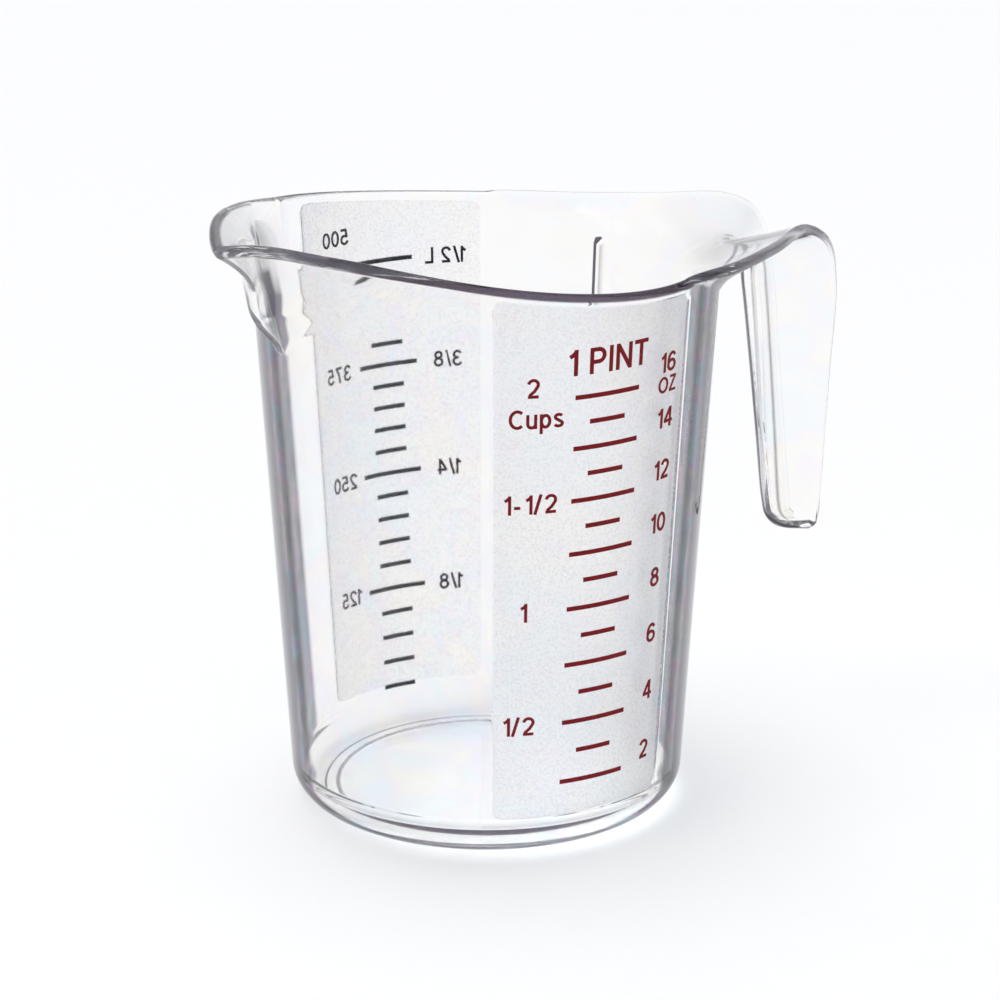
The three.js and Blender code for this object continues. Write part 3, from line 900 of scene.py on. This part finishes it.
def inkMaterial(name, look):
    material, tree, shader = newMaterial(name)
    film = addNode(tree, "ShaderNodeGroup", node_tree=inkGroup)
    shader.inputs["Specular IOR Level"].default_value = look["gloss"]
    film.inputs["Ink"].default_value = look["ink"]
    film.inputs["Thin Ink"].default_value = look["thinInk"]
    film.inputs["Mottle Size"].default_value = look["mottleSize"]
    tree.links.new(film.outputs["Colour"], shader.inputs["Base Color"])
    tree.links.new(film.outputs["Roughness"], shader.inputs["Roughness"])
    return material


redLook = {
    "ink": (0.19, 0.005, 0.008, 1),
    "thinInk": (0.34, 0.02, 0.025, 1),
    "mottleSize": 1100.0,
    "gloss": 0.12,
}
blueLook = {
    "ink": (0.004, 0.006, 0.018, 1),
    "thinInk": (0.012, 0.015, 0.034, 1),
    "mottleSize": 1100.0,
    "gloss": 0.03,
}
clearPlastic = clearPlasticMaterial()
redInk = inkMaterial("redInk", redLook)
blueInk = inkMaterial("blueInk", blueLook)
print("materials: clear plastic, red ink, blue ink")

moulding = addObject("jug_body", buildMoulding(), clearPlastic)
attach(moulding, "root")
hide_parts("jug_moulding")
print("moulding:", len(moulding.data.polygons), "faces")

# printed lines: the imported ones, in ink
for name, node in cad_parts.items():
    if name.startswith("line_"):
        node.data.materials.clear()
        node.data.materials.append(redInk if name.startswith("line_ounce") else blueInk)

inkFilm = {
    "gap": 0.06,  # above the panel
    "thickness": 0.1,
    "weight": 0.155,  # stroke of a letter, as a share of its height
    "widen": 1.1,
    "spacing": 0.16,
    "longest": 0.3,  # stretch of a stroke that stays straight as it bends round the wall
    "arcStep": 20,
    "digitWidth": 0.62,
}


def arc(x, y, width, height, start, end):  # part of an oval, between two angles
    count = max(2, math.ceil(abs(end - start) / inkFilm["arcStep"]))
    turns = [math.radians(start + (end - start) * i / count) for i in range(count + 1)]
    return [(x + width * math.cos(t), y + height * math.sin(t)) for t in turns]


def rounded(points):  # the same stroke turned half round, which makes a 9 of a 6
    return [(inkFilm["digitWidth"] - x, 1 - y) for x, y in points]


# strokes of each letter along their middles, with capitals one unit high
sixStrokes = [arc(0.31, 0.32, 0.225, 0.245, 0, 360), arc(0.335, 0.49, 0.25, 0.435, 188, 42)]
letterStrokes = {
    "0": [arc(0.31, 0.5, 0.225, 0.425, 0, 360)],
    "1": [[(0.33, 0), (0.33, 1)], [(0.11, 0.73), (0.22, 0.79), (0.33, 0.92)]],
    "2": [
        arc(0.31, 0.70, 0.215, 0.225, 172, -28) + [(0.36, 0.36), (0.13, 0.14)],
        [(0.07, 0.075), (0.55, 0.075)],
    ],
    "3": [
        arc(0.295, 0.725, 0.195, 0.20, 165, -90) + [(0.22, 0.525)],
        [(0.24, 0.525)] + arc(0.295, 0.30, 0.225, 0.225, 90, -165),
    ],
    "4": [[(0.44, 0), (0.44, 1)], [(0.42, 0.96), (0.09, 0.34)], [(0.03, 0.30), (0.60, 0.30)]],
    "5": [
        [(0.16, 0.925), (0.53, 0.925)],
        [(0.185, 0.96), (0.125, 0.47)],
        arc(0.30, 0.32, 0.225, 0.245, 140, -165),
    ],
    "6": sixStrokes,
    "7": [[(0.06, 0.925), (0.56, 0.925)], [(0.52, 0.93), (0.37, 0.66), (0.29, 0.40), (0.25, 0)]],
    "8": [arc(0.31, 0.735, 0.185, 0.19, 0, 360), arc(0.31, 0.30, 0.225, 0.225, 0, 360)],
    "9": [rounded(stroke) for stroke in sixStrokes],
    "C": [arc(0.40, 0.5, 0.31, 0.425, 48, 312)],
    "I": [[(0.12, 0), (0.12, 1)]],
    "L": [[(0.12, 0), (0.12, 1)], [(0.12, 0.075), (0.54, 0.075)]],
    "N": [[(0.12, 0), (0.12, 1)], [(0.62, 0), (0.62, 1)], [(0.13, 0.95), (0.61, 0.05)]],
    "O": [arc(0.40, 0.5, 0.32, 0.425, 0, 360)],
    "P": [
        [(0.12, 0), (0.12, 1)],
        [
            (0.12, 0.925),
            (0.36, 0.925),
            *arc(0.37, 0.69, 0.21, 0.235, 80, -80),
            (0.36, 0.455),
            (0.12, 0.455),
        ],
    ],
    "T": [[(0.03, 0.925), (0.61, 0.925)], [(0.32, 0), (0.32, 0.93)]],
    "Z": [[(0.07, 0.925), (0.56, 0.925)], [(0.51, 0.91), (0.09, 0.09)], [(0.05, 0.075), (0.58, 0.075)]],
    "p": [[(0.11, -0.28), (0.11, 0.73)], arc(0.30, 0.36, 0.19, 0.30, 0, 360)],
    "s": [
        [*arc(0.26, 0.535, 0.155, 0.125, 25, 235), (0.30, 0.34), *arc(0.26, 0.195, 0.175, 0.13, 50, -160)],
    ],
    "u": [[(0.11, 0.73)] + arc(0.285, 0.25, 0.175, 0.19, 180, 350), [(0.46, 0), (0.46, 0.73)]],
    "/": [[(0.03, -0.02), (0.30, 1.02)]],
    "-": [[(0.05, 0.36), (0.33, 0.36)]],
    " ": [[(0.0, 0), (0.16, 0)]],
}


def strokeCorners(points, weight):  # left and right sides of a stroke, mitred at its bends
    places = [Vector(points[0])]
    for a, b in zip(points, points[1:]):
        count = math.ceil((Vector(b) - Vector(a)).length / inkFilm["longest"])
        places += [Vector(a).lerp(Vector(b), (i + 1) / count) for i in range(count)]
    steps = [(b - a).normalized() for a, b in zip(places, places[1:])]
    closed = (places[0] - places[-1]).length < 1e-6
    before = [steps[-1] if closed else steps[0]] + steps
    after = steps + [steps[0] if closed else steps[-1]]
    sides = []
    for place, a, b in zip(places, before, after):
        across = Vector((-a.y - b.y, a.x + b.x)).normalized()
        reach = weight / 2 / max(0.5, across.dot(Vector((-a.y, a.x))))
        sides.append((place + across * reach, place - across * reach))
    return sides


def wordOutline(words, weight):  # corners and quads of all strokes
    corners, quads = [], []
    left = 0
    for letter in words:
        strokes = letterStrokes[letter]
        for stroke in strokes if letter != " " else []:
            first = len(corners)
            sides = strokeCorners([(left + x * inkFilm["widen"], y) for x, y in stroke], weight)
            for a, b in sides:
                corners += [a, b]
            quads += [(n, n + 1, n + 3, n + 2) for n in range(first, first + 2 * len(sides) - 2, 2)]
        left += max(x for stroke in strokes for x, y in stroke) * inkFilm["widen"] + inkFilm["spacing"]
    return corners, quads


def printedWord(name, words, angle, height, capHeight, material):
    corners, quads = wordOutline(words, inkFilm["weight"])
    # strokes that cross are joined into one flat shape
    flat, _, triangles, _, _, owners = geometry.delaunay_2d_cdt(corners, [], quads, 1, 1e-5)
    triangles = [t for t, owner in zip(triangles, owners) if owner]
    middle = (min(p.x for p in flat) + max(p.x for p in flat)) / 2
    stand = panel["rise"] + inkFilm["gap"]
    points = []
    for lift in (stand, stand + inkFilm["thickness"]):
        for p in flat:
            level = height + (p.y - 0.5) * capHeight
            turn = angle + math.degrees((p.x - middle) * capHeight / wallRadius(height))
            points.append(onVessel(turn, wallRadius(level) + lift * slopeLength, level) * mm)
    count = len(flat)
    faces = [tuple(n + count for n in t) for t in triangles] + [tuple(reversed(t)) for t in triangles]
    edges = {(t[n - 1], t[n]) for t in triangles for n in range(3)}
    faces += [(a, b, b + count, a + count) for a, b in sorted(edges) if (b, a) not in edges]
    mesh = bpy.data.meshes.new(name)
    mesh.from_pydata(points, [], faces)
    shape = bmesh.new()
    shape.from_mesh(mesh)
    bmesh.ops.delete(shape, geom=[v for v in shape.verts if not v.link_faces], context="VERTS")
    bmesh.ops.recalc_face_normals(shape, faces=shape.faces)
    shape.to_mesh(mesh)
    shape.free()
    word = addObject(name, mesh, material)
    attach(word, "root")


ouncePrint = {
    "millilitres": 29.5735,
    "numberAngle": -69.4,
    "numberLift": 2.3,  # above the line
    "topLift": 3.3,
    "numberHeight": 4.0,
    "unitHeight": 3.3,
    "unitDrop": 1.2,  # below the top line
    "cups": ((4, "1/2", -110.2), (8, "1", -109.3), (12, "1-1/2", -107.9), (16, "2", -107.7)),
    "cupHeight": 3.9,
    "cupTopLift": 2.5,
    "cupWordAngle": -106.8,
    "cupWordDrop": 3.6,
    "titleAngle": -88.2,
    "titleLift": 6.9,
    "titleHeight": 5.2,
}


def ounceHeight(ounces):
    return fillHeight(ounces * ouncePrint["millilitres"])


def printOunceWords():
    for ounces in range(2, 17, 2):
        level = ounceHeight(ounces) + ouncePrint["topLift" if ounces == 16 else "numberLift"]
        printedWord(
            f"number_ounce_{ounces:02d}", str(ounces), ouncePrint["numberAngle"], level,
            ouncePrint["numberHeight"], redInk,
        )
    top = ounceHeight(16)
    printedWord(
        "word_ounce", "OZ", ouncePrint["numberAngle"], top - ouncePrint["unitDrop"],
        ouncePrint["unitHeight"], redInk,
    )
    printedWord(
        "word_pint", "1 PINT", ouncePrint["titleAngle"], top + ouncePrint["titleLift"],
        ouncePrint["titleHeight"], redInk,
    )
    for ounces, words, angle in ouncePrint["cups"]:
        lift = ouncePrint["cupTopLift"] if ounces == 16 else 0
        printedWord(
            f"number_cup_{ounces:02d}", words, angle, ounceHeight(ounces) + lift,
            ouncePrint["cupHeight"], redInk,
        )
    printedWord(
        "word_cups", "Cups", ouncePrint["cupWordAngle"], top - ouncePrint["cupWordDrop"],
        ouncePrint["cupHeight"], redInk,
    )


metricPrint = {
    "numberAngle": 107.2,
    "fractionAngle": 72,
    "numberHeight": 3.4,
    "topAngle": 104.6,
    "topLift": 6.3,
}


def printMetricWords():
    quarter = vessel["topMillilitres"] / 4
    fractions = ("1/8", "1/4", "3/8", "1/2 L")
    for n, fraction in enumerate(fractions, 1):
        level = fillHeight(quarter * n)
        lift = metricPrint["topLift"] if n == 4 else 0
        angle = metricPrint["topAngle" if n == 4 else "numberAngle"]
        printedWord(
            f"number_millilitre_{n}", str(round(quarter * n)), angle, level + lift,
            metricPrint["numberHeight"], blueInk,
        )
        printedWord(
            f"number_litre_{n}", fraction, metricPrint["fractionAngle"], level,
            metricPrint["numberHeight"], blueInk,
        )


printOunceWords()
printMetricWords()
print("print: numerals and units on both scales")

# studio
floorLook = {
    "size": 12.0,
    "drop": 0.0001,
    "colour": (0.88, 0.88, 0.88, 1),
    "roughness": 0.55,
    "gloss": 0.1,
}


def buildFloor():
    half = floorLook["size"] / 2
    level = -floorLook["drop"]
    corners = [(-half, -half, level), (half, -half, level), (half, half, level), (-half, half, level)]
    mesh = bpy.data.meshes.new("studioFloor")
    mesh.from_pydata(corners, [], [(0, 1, 2, 3)])
    material, _, shader = newMaterial("paleFloor")
    shader.inputs["Base Color"].default_value = floorLook["colour"]
    shader.inputs["Roughness"].default_value = floorLook["roughness"]
    shader.inputs["Specular IOR Level"].default_value = floorLook["gloss"]
    floor = addObject("studio_floor", mesh, material)


lamps = {
    "skyBands": [  # backdrop at the horizon, dimmer walls, bright ceiling
        (0.00, (0.84, 0.85, 0.88)),
        (0.10, (0.78, 0.79, 0.82)),
        (0.24, (0.36, 0.37, 0.39)),
        (0.62, (0.36, 0.37, 0.39)),
        (0.92, (0.80, 0.80, 0.81)),
    ],
    "skyStrength": 0.83,
    "sunStrength": 2.48,
    "sunAngle": 70,  # a wide round softbox overhead
    "sunTilt": (-22, -18),
}


def buildLights():
    world = bpy.data.worlds.new("studio")
    world.use_nodes = True
    tree = world.node_tree
    direction = addNode(tree, "ShaderNodeTexCoord").outputs["Generated"]
    level = addNode(tree, "ShaderNodeSeparateXYZ", [(0, direction)]).outputs["Z"]
    background = tree.nodes["Background"]
    tree.links.new(colourRamp(tree, level, lamps["skyBands"]), background.inputs["Color"])
    background.inputs["Strength"].default_value = lamps["skyStrength"]
    bpy.context.scene.world = world
    sun = bpy.data.lights.new("softbox", "SUN")
    sun.energy = lamps["sunStrength"]
    sun.angle = math.radians(lamps["sunAngle"])
    # lights the floor through the plastic, without caustics
    sun.cycles.use_multiple_importance_sampling = False
    holder = bpy.data.objects.new("softbox", sun)
    holder.rotation_euler = (math.radians(lamps["sunTilt"][0]), math.radians(lamps["sunTilt"][1]), 0)
    bpy.context.scene.collection.objects.link(holder)


view = {
    "place": (-0.3566, -0.6474, 0.3102),
    "pitch": 71.39,
    "yaw": -29.06,
    "angle": 14.681,
    "clip": (0.01, 50),
    "bounces": 128,  # light runs a long way along the wall
    "clearBounces": 32,
}


def buildCamera():
    data = bpy.data.cameras.new("photoCamera")
    data.angle = math.radians(view["angle"])
    data.clip_start, data.clip_end = view["clip"]
    camera = bpy.data.objects.new("photoCamera", data)
    camera.location = view["place"]
    camera.rotation_euler = (math.radians(view["pitch"]), 0, math.radians(view["yaw"]))
    bpy.context.scene.collection.objects.link(camera)
    bpy.context.scene.camera = camera


buildFloor()
buildLights()
buildCamera()
scene = bpy.context.scene
scene.view_settings.view_transform = "Standard"
scene.cycles.max_bounces = view["bounces"]
scene.cycles.glossy_bounces = view["bounces"]
scene.cycles.transmission_bounces = view["bounces"]
scene.cycles.transparent_max_bounces = view["clearBounces"]
print("studio: floor, softbox and camera")
